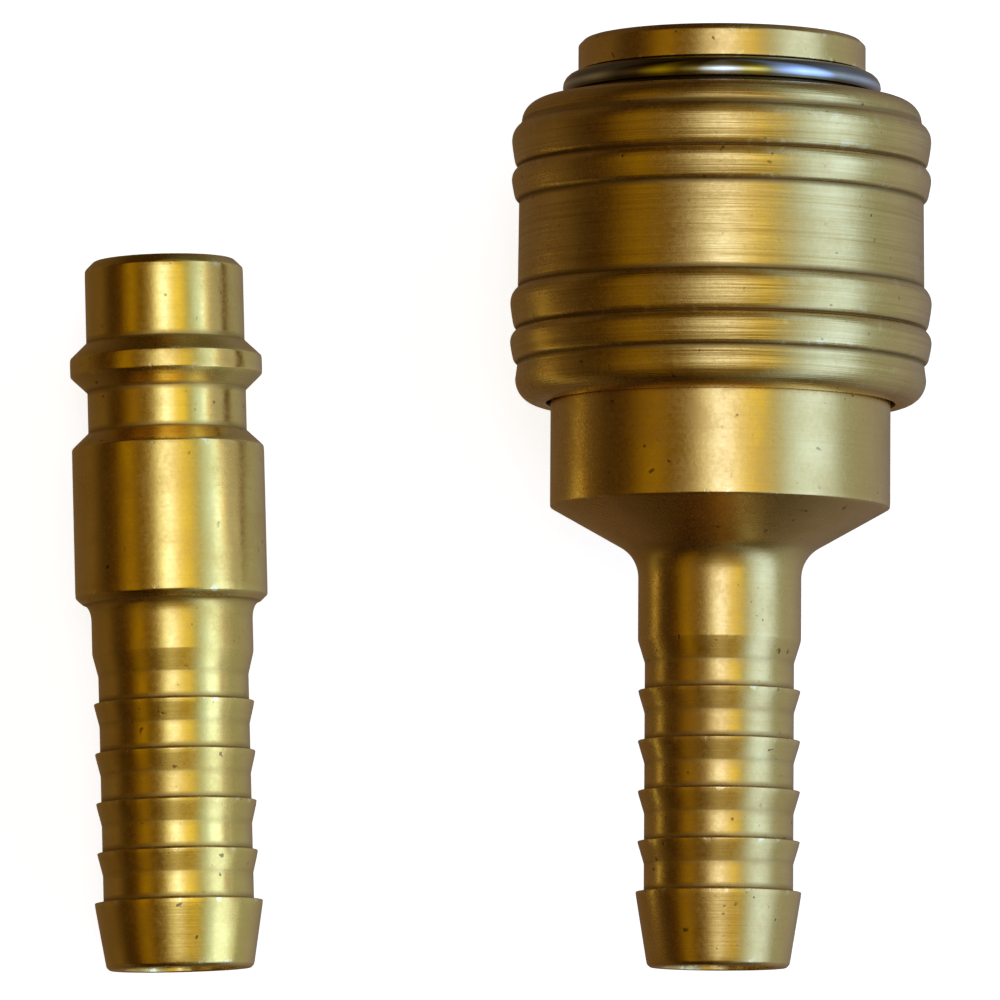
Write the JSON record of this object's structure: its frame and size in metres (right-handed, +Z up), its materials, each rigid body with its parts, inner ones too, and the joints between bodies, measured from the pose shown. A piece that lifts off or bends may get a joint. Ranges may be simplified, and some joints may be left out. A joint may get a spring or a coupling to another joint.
{
  "type": "quick disconnect coupler",
  "caption": "Brass quick disconnect air coupler: a socket with a sliding ribbed locking sleeve and its separate grooved plug, each with a barbed hose tail.",
  "frame": {"origin": "centre of the overall footprint, on the surface that the two halves lie on", "axes": "+X from the plug to the socket, +Y along the socket's axis from its hose tail to its mouth, +Z up"},
  "size_m": [0.0536, 0.0576, 0.0261],
  "materials": {
    "brass": "turned bare brass, fine lathe lines, light spotting",
    "steel": "bright polished steel",
    "rubber": "black moulded nitrile rubber"
  },
  "bodies": {
    "socket": {"hose_tail": "brass", "receiver": "brass", "retaining_ring": "steel", "nose_seal": "rubber", "valve_seat": "brass", "body_gasket": "rubber", "spring_washer": "steel", "valve_guide": "brass", "sleeve_spring": "steel", "valve_spring": "steel"},
    "sleeve": {"sleeve": "brass"},
    "poppet": {"poppet": "brass", "poppet_seal": "rubber"},
    "ball_1": {"locking_ball_1": "steel"},
    "ball_2": {"locking_ball_2": "steel"},
    "ball_3": {"locking_ball_3": "steel"},
    "ball_4": {"locking_ball_4": "steel"},
    "ball_5": {"locking_ball_5": "steel"},
    "ball_6": {"locking_ball_6": "steel"},
    "plug": {"plug": "brass"}
  },
  "joints": [
    {"name": "sleeve_slide", "type": "slide", "parent": "socket", "child": "sleeve", "axis": [0, -1, 0], "range_m": [0, 0.004], "stiffness_N_per_m": 3000, "springref_m": -0.005, "deforming": ["sleeve_spring"]},
    {"name": "poppet_slide", "type": "slide", "parent": "socket", "child": "poppet", "axis": [0, -1, 0], "range_m": [0, 0.0032], "stiffness_N_per_m": 1500, "springref_m": -0.0035, "deforming": ["valve_spring"]},
    {"name": "ball_1_slide", "type": "slide", "parent": "socket", "child": "ball_1", "axis": [0.5, 0, 0.866], "range_m": [0, 0.00105]},
    {"name": "ball_2_slide", "type": "slide", "parent": "socket", "child": "ball_2", "axis": [1, 0, 0], "range_m": [0, 0.00105]},
    {"name": "ball_3_slide", "type": "slide", "parent": "socket", "child": "ball_3", "axis": [0.5, 0, -0.866], "range_m": [0, 0.00105]},
    {"name": "ball_4_slide", "type": "slide", "parent": "socket", "child": "ball_4", "axis": [-0.5, 0, -0.866], "range_m": [0, 0.00105]},
    {"name": "ball_5_slide", "type": "slide", "parent": "socket", "child": "ball_5", "axis": [-1, 0, 0], "range_m": [0, 0.00105]},
    {"name": "ball_6_slide", "type": "slide", "parent": "socket", "child": "ball_6", "axis": [-0.5, 0, 0.866], "range_m": [0, 0.00105]},
    {"name": "plug_swing", "type": "hinge", "parent": "socket", "child": "plug", "pos_m": [-0.00368, 0.02075, 0.00944], "axis": [0.1975, 0.0033, -0.9803], "range_deg": [0, 181.86]}
  ],
  "couplings": [
    {"joint": "ball_1_slide", "follows": "sleeve_slide", "ratio": 0.2625},
    {"joint": "ball_2_slide", "follows": "sleeve_slide", "ratio": 0.2625},
    {"joint": "ball_3_slide", "follows": "sleeve_slide", "ratio": 0.2625},
    {"joint": "ball_4_slide", "follows": "sleeve_slide", "ratio": 0.2625},
    {"joint": "ball_5_slide", "follows": "sleeve_slide", "ratio": 0.2625},
    {"joint": "ball_6_slide", "follows": "sleeve_slide", "ratio": 0.2625}
  ]
}
